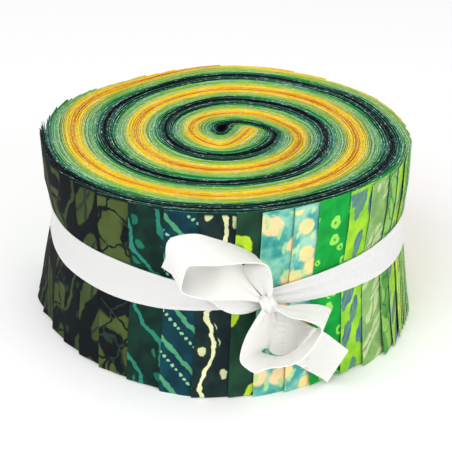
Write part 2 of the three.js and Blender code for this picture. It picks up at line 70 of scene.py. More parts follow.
# How the stack is wound
# Forty strips are stacked and folded in half. Ribs across the folded band are given one by one round the
# fold at the centre, then the band follows an even spiral, clockwise outward, that is flatter at its sides.
STRIPS = 40
PITCH = 19.6
SPIRAL_X, SPIRAL_Y, SPIRAL_START, SPIRAL_FLATTEN = 1.3, -0.5, 21.3, 4.1
CORE_RIBS = [
    {"inner": (0.4, 5.0), "middle": (7.6, 0.4), "outer": (16.4, -5.0)},
    {"inner": (0.3, 2.8), "middle": (5.6, -4.0), "outer": (15.0, -10.4)},
    {"inner": (-0.1, 1.0), "middle": (3.0, -8.6), "outer": (11.2, -15.8)},
    {"inner": (-0.8, -0.3), "middle": (-0.6, -11.8), "outer": (4.2, -20.4)},
    {"inner": (-1.5, -0.6), "middle": (-4.4, -11.0), "outer": (-4.2, -20.8)},
    {"inner": (-2.2, 0.0), "middle": (-8.6, -6.8), "outer": (-12.8, -16.0)},
    {"inner": (-2.7, 1.4), "middle": (-11.2, -1.0), "outer": (-18.6, -7.0)},
    {"inner": (-2.8, 3.2), "middle": (-11.4, 5.2), "outer": (-20.2, 3.4)},
    {"inner": (-2.1, 5.0), "middle": (-9.2, 11.0), "outer": (-18.0, 13.6)},
    {"inner": (-0.6, 6.3), "middle": (-4.0, 15.0), "outer": (-11.0, 22.6)},
    {"inner": (4.0, 7.8), "middle": (3.4, 16.2), "outer": (0.0, 28.6)},
    {"inner": (9.0, 6.6), "middle": (10.8, 14.0), "outer": (12.4, 26.4)},
    {"inner": (13.4, 3.4), "middle": (17.2, 8.8), "outer": (23.6, 19.6)},
    {"inner": (16.8, -1.6), "middle": (22.6, 2.4), "outer": (31.4, 8.1)},
]
FOLD_END = [(1.6, 6.8), (5.0, 6.9), (8.6, 6.0), (12.2, 3.4), (14.8, 0.4), (16.4, -2.2)]
FOLD_MIDDLE = (8.4, 2.4)
RIB_STEPS, FOLD_STEPS = 4, 3
FAN_STEPS, FAN_TURN = 5, 36
TURN_STEP, LAST_TURN, WHOLE_TURNS = 7.5, 1180, 3 * 360


def smooth_through(points, steps):
    """Points of a smooth curve through the given ones, with so many steps between each two."""
    given = np.array(points, float)
    padded = np.vstack([2 * given[0] - given[1], given, 2 * given[-1] - given[-2]])
    out = []
    for i in range(len(given) - 1):
        p0, p1, p2, p3 = padded[i:i + 4]
        for step in range(steps):
            t = step / steps
            out.append(0.5 * (2 * p1 + (p2 - p0) * t + (2 * p0 - 5 * p1 + 4 * p2 - p3) * t * t
                              + (3 * p1 - p0 - 3 * p2 + p3) * t ** 3))
    out.append(given[-1])
    return np.array(out)


def bearing(azimuth):
    """Level direction at an azimuth in degrees: 0 is the front, 90 the right, 180 the back."""
    a = np.radians(azimuth)
    return np.stack([np.sin(a), -np.cos(a)], -1)


core = {line: smooth_through([rib[line] for rib in CORE_RIBS], RIB_STEPS) for line in CORE_RIBS[0]}
spiral_centre = np.array([SPIRAL_X, SPIRAL_Y])
from_centre = core["outer"] - spiral_centre
core_wound = -np.degrees(np.unwrap(np.arctan2(from_centre[:, 0], -from_centre[:, 1])))
core_radius = np.hypot(*from_centre.T)


def contact_radius(wound):
    """Radius of the line where two turns touch, by the degrees wound from the front."""
    side = np.sin(np.radians(wound))
    even = SPIRAL_START + PITCH * wound / 360 - SPIRAL_FLATTEN * side ** 2
    return np.where(wound < core_wound[-1], np.interp(wound, core_wound, core_radius), even)


def spiral_point(wound, radius):
    return spiral_centre + bearing(-wound) * radius[:, None]


def wound_and_radius(point):
    """The degrees wound, past the first turn, at which a point lies, and how far out it lies."""
    x, y = point - spiral_centre
    return 360 - math.degrees(math.atan2(x, -y)), np.hypot(x, y)


# Between the listed ribs and the even spiral the ribs swing round to point straight at the centre
even_start = core_wound[-1] + FAN_TURN
even_wound = np.arange(even_start, LAST_TURN, TURN_STEP)
fan = (np.arange(FAN_STEPS) + 1) / (FAN_STEPS + 1)
inner_from, _ = wound_and_radius(core["inner"][-1])
middle_from, middle_radius = wound_and_radius(core["middle"][-1])
fan_inner = inner_from + (even_start - inner_from) * fan
fan_middle = middle_from + (even_start - middle_from) * fan
fan_outer = core_wound[-1] + (even_start - core_wound[-1]) * fan
even_middle = (contact_radius(even_wound) + contact_radius(even_wound - 360)) / 2
fan_middle_radius = middle_radius + (even_middle[0] - middle_radius) * fan
rib_inner = np.vstack([core["inner"], spiral_point(fan_inner, contact_radius(fan_inner - 360)),
                       spiral_point(even_wound, contact_radius(even_wound - 360))])
rib_outer = np.vstack([core["outer"], spiral_point(fan_outer, contact_radius(fan_outer)),
                       spiral_point(even_wound, contact_radius(even_wound))])
rib_middle = np.vstack([core["middle"], spiral_point(fan_middle, fan_middle_radius),
                        spiral_point(even_wound, even_middle)])
rib_wound = np.concatenate([core_wound, fan_outer, even_wound])

# The loose ends
# Each strip has two ends. On the leg that lies inside, the ends step round the back, the right and the
# front, and these are the panels that show; on the outer leg they step round the back on the left.
FRONT_ENDS = [-88, -78, -68, -59, -50, -40.5, -29.5, -18.4, -8.5, 1.9, 9.1, 18.6, 26.5, 37.7, 46.6, 55.7,
              61.5, 67]
FANNED_ENDS = 8
FANNED_TO, BACK_END = 88, 176
OUTER_ENDS = (183, 270)
LEAN = 2.5
inner_end = {STRIPS - 1 - i: azimuth for i, azimuth in enumerate(FRONT_ENDS)}
left_over = STRIPS - len(FRONT_ENDS) - FANNED_ENDS
further = [*np.linspace(FRONT_ENDS[-1], FANNED_TO, FANNED_ENDS + 1)[1:],
           *np.linspace(FANNED_TO, BACK_END, left_over + 1)[1:]]
inner_end.update({STRIPS - 1 - len(FRONT_ENDS) - i: float(azimuth) for i, azimuth in enumerate(further)})
outer_end = dict(enumerate(np.linspace(*OUTER_ENDS, STRIPS).tolist()))

# The outline of the roll
# An oval with a longer back and a waist where the ribbon draws it in. By azimuth, the cloth stands
# beyond the oval, and its feet spread beyond that, by uneven amounts.
OUTLINE_MEAN, OUTLINE_BACK, OUTLINE_DEPTH = 61.5, 1.2, 1.2
WAIST_DEPTH, WAIST_FRONT, WAIST_RIGHT, WAIST_HALF = 2.2, -0.6, -0.5, 10
RIBBON_HEIGHT, RIBBON_TILT, RIBBON_TILT_AT = 36.5, 1.8, 10
FEET_HEIGHT = 34
SHAPED_TO, SHAPED_POWER = 1.1, 3
UNEVEN = [
    {"at": -150, "outline": -2.2, "foot": 2.5}, {"at": -110, "outline": 1.8, "foot": 4.0},
    {"at": -88, "outline": 0.9, "foot": 4.4}, {"at": -74, "outline": 0.8, "foot": 1.6},
    {"at": -48, "outline": 0.2, "foot": 0.3}, {"at": -30, "outline": 0.0, "foot": 0.5},
    {"at": -7, "outline": 0.0, "foot": 2.3}, {"at": 4, "outline": 0.0, "foot": 1.4},
    {"at": 22, "outline": 0.0, "foot": 1.2}, {"at": 37, "outline": 0.2, "foot": 0.8},
    {"at": 57, "outline": 1.3, "foot": 2.8}, {"at": 70, "outline": 2.2, "foot": 2.0},
    {"at": 88, "outline": 0.9, "foot": 2.9}, {"at": 95, "outline": 0.6, "foot": 4.4},
    {"at": 125, "outline": -0.2, "foot": 3.0}, {"at": 153, "outline": -1.0, "foot": 2.0},
    {"at": 180, "outline": 1.4, "foot": 1.5}, {"at": 210, "outline": -2.2, "foot": 2.5},
]
PROBE_STEP, HARMONICS = 5.0, 7
CREEP_FROM, CREEP_TO = 36, 60
SMOOTH_BELOW = math.radians(50)


def smooth_step(x, low, high):
    t = np.clip((x - low) / (high - low), 0, 1)
    return t * t * (3 - 2 * t)


def uneven(azimuth, key):
    """One column of the table at any azimuth, eased from row to row."""
    at = np.array([row["at"] for row in UNEVEN], float)
    value = np.array([row[key] for row in UNEVEN])
    turned = (np.asarray(azimuth) - at[0]) % 360 + at[0]
    after = np.clip(np.searchsorted(at, turned, side="right"), 1, len(at) - 1)
    share = smooth_step(turned, at[after - 1], at[after])
    return value[after - 1] + (value[after] - value[after - 1]) * share


def outline_radius(azimuth):
    a = np.radians(azimuth)
    oval = OUTLINE_MEAN - OUTLINE_BACK * np.cos(a) + OUTLINE_DEPTH * np.cos(2 * a)
    return oval + uneven(azimuth, "outline")


def ribbon_height(azimuth):
    return RIBBON_HEIGHT - RIBBON_TILT * np.cos(np.radians(azimuth - RIBBON_TILT_AT))


def shown_radius(azimuth):
    """Radius, about the spiral's centre, of the layer that shows at each azimuth before any shaping."""
    layers = np.arange(STRIPS)
    ends = np.concatenate([[inner_end[k] for k in layers[::-1]], [outer_end[k] for k in layers]])
    shares = np.concatenate([-(layers[::-1] + 0.5), layers + 0.5]) / STRIPS
    a = (azimuth - ends[0]) % 360 + ends[0]
    share = np.interp(a, ends, shares)
    wound = WHOLE_TURNS - a
    wound = np.where(a < ends[0] + 0.01, WHOLE_TURNS + 360 - a, wound)
    middle = (contact_radius(wound) + contact_radius(wound - 360)) / 2
    return middle + share * (contact_radius(wound) - contact_radius(wound - 360)) / 2


# The outer turns creep until the shown layer meets the outline: the first harmonics of what is missing
probe = np.arange(0, 360, PROBE_STEP)
aim = spiral_centre + bearing(probe) * shown_radius(probe)[:, None]
aim_azimuth = np.degrees(np.arctan2(aim[:, 0], -aim[:, 1]))
missing = outline_radius(aim_azimuth) - np.hypot(*aim.T)
waves = [(n, np.cos(np.radians(n * probe)), np.sin(np.radians(n * probe))) for n in range(1, HARMONICS + 1)]
creep_terms = [(n, 2 * np.mean(missing * even), 2 * np.mean(missing * odd)) for n, even, odd in waves]
creep_mean = np.mean(missing)


def creep(azimuth):
    """How far the outmost turns stand beyond the even spiral."""
    total = np.full_like(azimuth, creep_mean)
    for n, even, odd in creep_terms:
        total += even * np.cos(np.radians(n * azimuth)) + odd * np.sin(np.radians(n * azimuth))
    return total


def shape_cloth(flat, z, lift):
    """Places points of the wound stack: their level place, their height, and how far an end stands off."""
    rel = flat - spiral_centre
    radius = np.hypot(rel[..., 0], rel[..., 1])
    azimuth = np.degrees(np.arctan2(rel[..., 0], -rel[..., 1]))
    radius = radius + creep(azimuth) * smooth_step(radius, CREEP_FROM, CREEP_TO)
    flat = spiral_centre + bearing(azimuth) * radius[..., None]
    radius = np.hypot(flat[..., 0], flat[..., 1])
    azimuth = np.degrees(np.arctan2(flat[..., 0], -flat[..., 1]))
    c, s = np.cos(np.radians(azimuth)), np.sin(np.radians(azimuth))
    near_edge = np.clip(radius / OUTLINE_MEAN, 0, SHAPED_TO) ** SHAPED_POWER
    waist = WAIST_DEPTH + WAIST_FRONT * c + WAIST_RIGHT * s
    waist = waist * np.exp(-((z - ribbon_height(azimuth)) / WAIST_HALF) ** 2)
    foot = uneven(azimuth, "foot") * np.clip(1 - z / FEET_HEIGHT, 0, 1) ** 2
    radius = radius + (foot - waist) * near_edge + lift
    flat = bearing(azimuth) * radius[..., None]
    return np.stack([(flat[..., 0] + AXIS_X) * MM, (flat[..., 1] + AXIS_Y) * MM, z * MM], -1)


def smooth_through_rows(rows, steps):
    """A smooth surface through rows of points, with so many steps between each two rows."""
    rows = np.asarray(rows, float)
    return smooth_through(rows.reshape(len(rows), -1), steps).reshape(-1, *rows.shape[1:])


def sheet_object(name, pieces):
    """Closed thin sheets, each between two grids of points, with a map in millimetres and marked rims."""
    all_points, all_faces, all_maps, all_rims = [], [], [], []
    first = 0
    for face, back, length, across in pieces:
        rows, columns = face.shape[:2]
        count = rows * columns
        grid = np.arange(count).reshape(rows, columns)
        quads = np.stack([grid[:-1, :-1], grid[1:, :-1], grid[1:, 1:], grid[:-1, 1:]], -1).reshape(-1, 4)
        rim = np.concatenate([grid[0, :-1], grid[:-1, -1], grid[-1, :0:-1], grid[:0:-1, 0]])
        following = np.roll(rim, -1)
        rim_quads = np.stack([rim, following, following + count, rim + count], -1)
        faces = np.concatenate([quads, quads[:, ::-1] + count, rim_quads])
        corner = faces.reshape(-1)
        all_points.append(np.concatenate([face.reshape(-1, 3), back.reshape(-1, 3)]))
        all_faces.append(faces + first)
        all_maps.append(np.stack([np.tile(side.reshape(-1), 2)[corner] for side in (length, across)], -1))
        all_rims.append(np.repeat([0, 1], [4 * 2 * len(quads), 4 * len(rim_quads)]))
        first += 2 * count
    mesh = bpy.data.meshes.new(name)
    mesh.from_pydata(np.concatenate(all_points).tolist(), [], np.concatenate(all_faces).tolist())
    maps = np.concatenate(all_maps).astype(np.float32).reshape(-1)
    mesh.uv_layers.new(name="cloth").data.foreach_set("uv", maps)
    rims = np.concatenate(all_rims).astype(np.float32)
    mesh.attributes.new("rim", "FLOAT", "CORNER").data.foreach_set("value", rims)
    mesh.validate()
    made = bpy.data.objects.new(name, mesh)
    bpy.context.scene.collection.objects.link(made)
    bpy.ops.object.select_all(action="DESELECT")
    made.select_set(True)
    bpy.context.view_layer.objects.active = made
    bpy.ops.object.shade_smooth_by_angle(angle=SMOOTH_BELOW)
    return made


# The strips
# Quilting cotton cut 63.5 mm wide and as long as the cloth is wide. Each is one sheet with a face for
# either side, nested between its neighbours, that runs from its one end in to the fold and out again.
FILL = 0.86
LEVELS = np.array([0, 6, 15, 25, 33, 41, 52, HEIGHT])
END_STATIONS = np.array([-26, -17, -11, -7, -4, -1.8, 0])
END_CLEAR = 2
MIDDLE_REST, LOWEST_REST = 0.405, 0.02
LEAN_REACH, LIFT_REACH, FOOT_HEIGHT = 40, 9, 16
TIED_SHARE, TIED_REACH = 0.25, 20
LIFTS, FOOT_LIFTS = (0.20, 0.60), (0.1, 0.8)
FANNED_LIFT, BACK_LIFT, RAGGED_LIFT, RAGGED_FROM = 0.5, 0.3, 2.2, 35
RISE_WAVES = [(31, 0.22), (13, 0.18), (5.5, 0.10)]
random = np.random.default_rng(7)
stations = np.arange(len(rib_wound))


def run_along(line):
    """How far along a line of points each one lies."""
    return np.concatenate([[0], np.cumsum(np.linalg.norm(np.diff(line, axis=0), axis=-1))])


def leg_path(side, stop, share, lift_size, foot_size):
    """A leg of a strip from the fold to its end: its level place, and how far it stands off near the end."""
    before = rib_wound < stop + END_STATIONS[0] - END_CLEAR
    wound = np.concatenate([rib_wound[before], stop + END_STATIONS])
    station = np.interp(wound, rib_wound, stations)
    station[:before.sum()] = stations[before]
    near_end = np.clip(1 - (stop - wound) / LEAN_REACH, 0, 1)
    at = station[:, None] + near_end[:, None] * LEAN * (1 - LEVELS / HEIGHT)[None] / TURN_STEP
    middle = np.stack([np.interp(at, stations, rib_middle[:, i]) for i in (0, 1)], -1)
    edge = np.stack([np.interp(at, stations, side[:, i]) for i in (0, 1)], -1)
    off = np.clip(1 - (stop - wound) / LIFT_REACH, 0, 1)[:, None] ** 2
    free = TIED_SHARE + (1 - TIED_SHARE) * np.clip(np.abs(LEVELS - RIBBON_HEIGHT) / TIED_REACH, 0, 1)[None]
    low = np.clip(1 - LEVELS / FOOT_HEIGHT, 0, 1)[None]
    return middle + (edge - middle) * share, off * (lift_size * free + foot_size * low)


def strip_layer(layer):
    """Both faces of one strip, its length along it and its place across it."""
    inner_stop, outer_stop = WHOLE_TURNS - inner_end[layer], WHOLE_TURNS - outer_end[layer]
    lowest = MIDDLE_REST * (1 + random.uniform(-1, 1))
    phases = random.uniform(0, 2 * math.pi, len(RISE_WAVES))
    lift_size, foot_size = random.uniform(*LIFTS), random.uniform(*FOOT_LIFTS)
    if layer < STRIPS - len(FRONT_ENDS):
        lift_size, foot_size = lift_size * FANNED_LIFT, foot_size * FANNED_LIFT
    back_lift = lift_size * (BACK_LIFT if layer < RAGGED_FROM else RAGGED_LIFT)
    faces = []
    for share in ((layer + 0.5 - FILL / 2) / STRIPS, (layer + 0.5 + FILL / 2) / STRIPS):
        flat_in, lift_in = leg_path(rib_inner, inner_stop, share, lift_size, foot_size)
        flat_out, lift_out = leg_path(rib_outer, outer_stop, share, back_lift, foot_size * BACK_LIFT)
        fold = np.vstack([rib_inner[0], smooth_through(FOLD_END, FOLD_STEPS), rib_outer[0]])[1:-1]
        fold = np.array(FOLD_MIDDLE) + (fold - FOLD_MIDDLE) * share
        fold = np.repeat(fold[:, None], len(LEVELS), 1)
        faces.append((np.concatenate([flat_in[::-1], fold, flat_out]),
                      np.concatenate([lift_in[::-1], np.zeros(fold.shape[:2]), lift_out])))
    line = (faces[0][0][:, 0] + faces[1][0][:, 0]) / 2
    along = run_along(line)
    wave = sum(size * np.sin(along / reach + phase) for (reach, size), phase in zip(RISE_WAVES, phases))
    z = LEVELS[None] + np.clip(lowest + wave, LOWEST_REST, None)[:, None]
    inside, outside = (shape_cloth(flat, z, lift) for flat, lift in faces)
    length = np.repeat(along[:, None], len(LEVELS), 1)
    across = np.repeat(LEVELS[None], len(along), 0)
    return inside, outside, length, across


strips = [sheet_object(f"strip_{layer + 1:02d}", [strip_layer(layer)]) for layer in range(STRIPS)]

# Shading that the pieces share
# Each helper adds nodes to a tree and gives back an output. The groups read the map of a sheet and give
# masks and heights alone. Sizes inside a print are shares of its repeat.


def wire(tree, kind, sockets=None, **settings):
    """A node with its settings, whose inputs are given values or joined to other nodes' outputs."""
    node = tree.nodes.new(kind)
    for name, value in settings.items():
        setattr(node, name, value)
    for name, value in (sockets or {}).items():
        if isinstance(value, bpy.types.NodeSocket):
            tree.links.new(value, node.inputs[name])
        else:
            node.inputs[name].default_value = value
    return node


def calc(tree, operation, first, second=0.0):
    return wire(tree, "ShaderNodeMath", {0: first, 1: second}, operation=operation).outputs[0]


def soft_step(tree, value, low, high):
    """0 below the first value and 1 above the second, or the other way round."""
    sockets = {"Value": value, "From Min": low, "From Max": high}
    return wire(tree, "ShaderNodeMapRange", sockets, interpolation_type="SMOOTHSTEP").outputs[0]


def blend(tree, factor, first, second):
    return wire(tree, "ShaderNodeMix", {0: factor, 6: first, 7: second}, data_type="RGBA").outputs[2]


def turned(tree, place, angle, scale=(1, 1, 1), shift=(0, 0, 0)):
    """The place turned by an angle in degrees and scaled, as the nodes of a pattern read it."""
    sockets = {"Vector": place, "Rotation": (0, 0, math.radians(angle)), "Scale": scale, "Location": shift}
    return wire(tree, "ShaderNodeMapping", sockets).outputs[0]


def moved_by(tree, first, second, operation="ADD"):
    return wire(tree, "ShaderNodeVectorMath", {0: first, 1: second}, operation=operation).outputs[0]


def off_by(tree, value, middle):
    """How far a value is from a middle one, either way."""
    return calc(tree, "ABSOLUTE", calc(tree, "SUBTRACT", value, middle))


def cells(tree, place, feature="F1", **sockets):
    return wire(tree, "ShaderNodeTexVoronoi", {"Vector": place, "Scale": 1.0, **sockets},
                voronoi_dimensions="2D", feature=feature)


def noise(tree, place, scale, detail=2.0):
    sockets = {"Vector": place, "Scale": scale, "Detail": detail}
    return wire(tree, "ShaderNodeTexNoise", sockets, noise_dimensions="2D")


def shader_group(name, outputs):
    """A node group that reads a place and gives named numbers: the tree, its place and its outgoing node."""
    group = bpy.data.node_groups.new(name, "ShaderNodeTree")
    group.interface.new_socket("Place", in_out="INPUT", socket_type="NodeSocketVector")
    for label in outputs:
        group.interface.new_socket(label, in_out="OUTPUT", socket_type="NodeSocketFloat")
    return group, group.nodes.new("NodeGroupInput").outputs[0], group.nodes.new("NodeGroupOutput")


def leaves_print():
    """Long pointed spots in two directions, each with a midrib."""
    group, place, out = shader_group("print_leaves", ["Motif", "Detail"])
    directions, slim = ((33, 0), (-52, 7.3)), 0.36
    motif, detail = 0.0, 0.0
    for angle, shift in directions:
        long = turned(group, place, angle, (1.0, slim, 1.0), (shift, shift, 0))
        spots = cells(group, long)
        away = moved_by(group, long, spots.outputs["Position"], "SUBTRACT")
        side = wire(group, "ShaderNodeSeparateXYZ", {0: away}).outputs["X"]
        leaf = soft_step(group, spots.outputs["Distance"], 0.27, 0.23)
        rib = calc(group, "MULTIPLY", leaf, soft_step(group, calc(group, "ABSOLUTE", side), 0.05, 0.02))
        motif = calc(group, "MAXIMUM", leaf, motif)
        detail = calc(group, "MAXIMUM", rib, detail)
    group.links.new(motif, out.inputs["Motif"])
    group.links.new(detail, out.inputs["Detail"])
    return group


def rings_print():
    """Dots and rings of uneven size."""
    group, place, out = shader_group("print_rings", ["Motif", "Detail"])
    least, spread, rings_alone = 0.10, 0.14, 0.28
    spots = cells(group, place)
    tint = wire(group, "ShaderNodeSeparateXYZ", {0: spots.outputs["Color"]})
    radius = calc(group, "ADD", calc(group, "MULTIPLY", tint.outputs["X"], spread), least)
    away = spots.outputs["Distance"]
    ring = soft_step(group, off_by(group, away, radius), 0.065, 0.035)
    dot = soft_step(group, calc(group, "SUBTRACT", away, radius), 0.02, -0.03)
    is_dot = calc(group, "GREATER_THAN", tint.outputs["Y"], rings_alone)
    motif = calc(group, "MAXIMUM", ring, calc(group, "MULTIPLY", dot, is_dot))
    group.links.new(motif, out.inputs["Motif"])
    group.links.new(soft_step(group, away, 0.09, 0.05), out.inputs["Detail"])
    return group


def vines_print():
    """Stems that wander along the cloth's width, with spots between them."""
    group, place, out = shader_group("print_vines", ["Motif", "Detail"])
    wave, swing_size, wander_size = 3.4, 0.12, 0.6
    axes = wire(group, "ShaderNodeSeparateXYZ", {0: place}).outputs
    swing = calc(group, "SINE", calc(group, "MULTIPLY", axes["Y"], wave))
    swing = calc(group, "MULTIPLY", swing, swing_size)
    wander = calc(group, "MULTIPLY", noise(group, place, 0.9, 1).outputs[0], wander_size)
    moved = calc(group, "ADD", calc(group, "ADD", axes["X"], swing), wander)
    stem = off_by(group, calc(group, "FRACT", moved), 0.5)
    spots = cells(group, turned(group, place, 20, (1.3, 1.0, 1))).outputs["Distance"]
    spots = calc(group, "MULTIPLY", soft_step(group, spots, 0.17, 0.12), soft_step(group, stem, 0.16, 0.20))
    group.links.new(soft_step(group, stem, 0.085, 0.06), out.inputs["Motif"])
    group.links.new(spots, out.inputs["Detail"])
    return group


def crackle_print():
    """Patches of dye parted by fine cracks."""
    group, place, out = shader_group("print_crackle", ["Motif", "Detail"])
    reach = (0.9, 0.9, 0)
    wander = moved_by(group, noise(group, place, 1.1, 1).outputs["Color"], reach, "MULTIPLY")
    moved = moved_by(group, wander, place)
    gaps = cells(group, moved, "DISTANCE_TO_EDGE").outputs["Distance"]
    patch = soft_step(group, noise(group, place, 0.8, 1).outputs[0], 0.46, 0.52)
    crack = soft_step(group, gaps, 0.03, 0.07)
    group.links.new(calc(group, "MULTIPLY", patch, crack), out.inputs["Motif"])
    veins = calc(group, "MULTIPLY", soft_step(group, gaps, 0.05, 0.02), calc(group, "SUBTRACT", 1.0, patch))
    group.links.new(veins, out.inputs["Detail"])
    return group


def bars_print():
    """Slanting bars with a row of dots between them."""
    group, place, out = shader_group("print_bars", ["Motif", "Detail"])
    slant, bar_at, dots_at, dots = 50, 0.25, 0.62, 5.0
    axes = wire(group, "ShaderNodeSeparateXYZ", {0: turned(group, place, slant)})
    across = calc(group, "FRACT", axes.outputs["X"])
    group.links.new(soft_step(group, off_by(group, across, bar_at), 0.085, 0.065), out.inputs["Motif"])
    along = calc(group, "FRACT", calc(group, "MULTIPLY", axes.outputs["Y"], dots))
    off_row = calc(group, "MULTIPLY", calc(group, "SUBTRACT", across, dots_at), dots)
    away = wire(group, "ShaderNodeCombineXYZ", {0: off_row, 1: calc(group, "SUBTRACT", along, 0.5)})
    size = wire(group, "ShaderNodeVectorMath", {0: away.outputs[0]}, operation="LENGTH").outputs["Value"]
    group.links.new(soft_step(group, size, 0.33, 0.25), out.inputs["Detail"])
    return group


def blobs_print():
    """Large soft pools of dye, with slim drops between them."""
    group, place, out = shader_group("print_blobs", ["Motif", "Detail"])
    pools = cells(group, place, "SMOOTH_F1", Smoothness=0.35)
    group.links.new(soft_step(group, pools.outputs["Distance"], 0.36, 0.25), out.inputs["Motif"])
    drops = cells(group, turned(group, place, 62, (2.8, 1.1, 1))).outputs["Distance"]
    group.links.new(soft_step(group, drops, 0.26, 0.14), out.inputs["Detail"])
    return group


def dye_group():
    """How hand dye pools unevenly in the ground of a cloth."""
    group, place, out = shader_group("hand_dye", ["Pool"])
    pool = soft_step(group, noise(group, place, 0.16, 4).outputs[0], 0.30, 0.68)
    group.links.new(pool, out.inputs["Pool"])
    return group


def weave_group(name, pitch):
    """Height of a plain weave at a pitch in millimetres."""
    group, place, out = shader_group(name, ["Height"])
    height = None
    for direction in ("X", "Y"):
        sockets = {"Vector": place, "Scale": 1 / (math.pi * pitch), "Distortion": 0.4, "Detail": 1.0}
        threads = wire(group, "ShaderNodeTexWave", sockets, bands_direction=direction).outputs["Fac"]
        height = threads if height is None else calc(group, "MULTIPLY", height, threads)
    group.links.new(height, out.inputs["Height"])
    return group


def linear(code):
    """A colour written as six digits in the usual screen scale, as the shader reads it."""
    values = [int(code[i:i + 2], 16) / 255 for i in (1, 3, 5)]
    return (*[v / 12.92 if v <= 0.04045 else ((v + 0.055) / 1.055) ** 2.4 for v in values], 1)


PRINTS = {
    "leaves": leaves_print(), "rings": rings_print(), "vines": vines_print(),
    "crackle": crackle_print(), "bars": bars_print(), "blobs": blobs_print(),
}
THREAD_PITCH = 0.28
DYE, WEAVE = dye_group(), weave_group("cotton_weave", THREAD_PITCH)

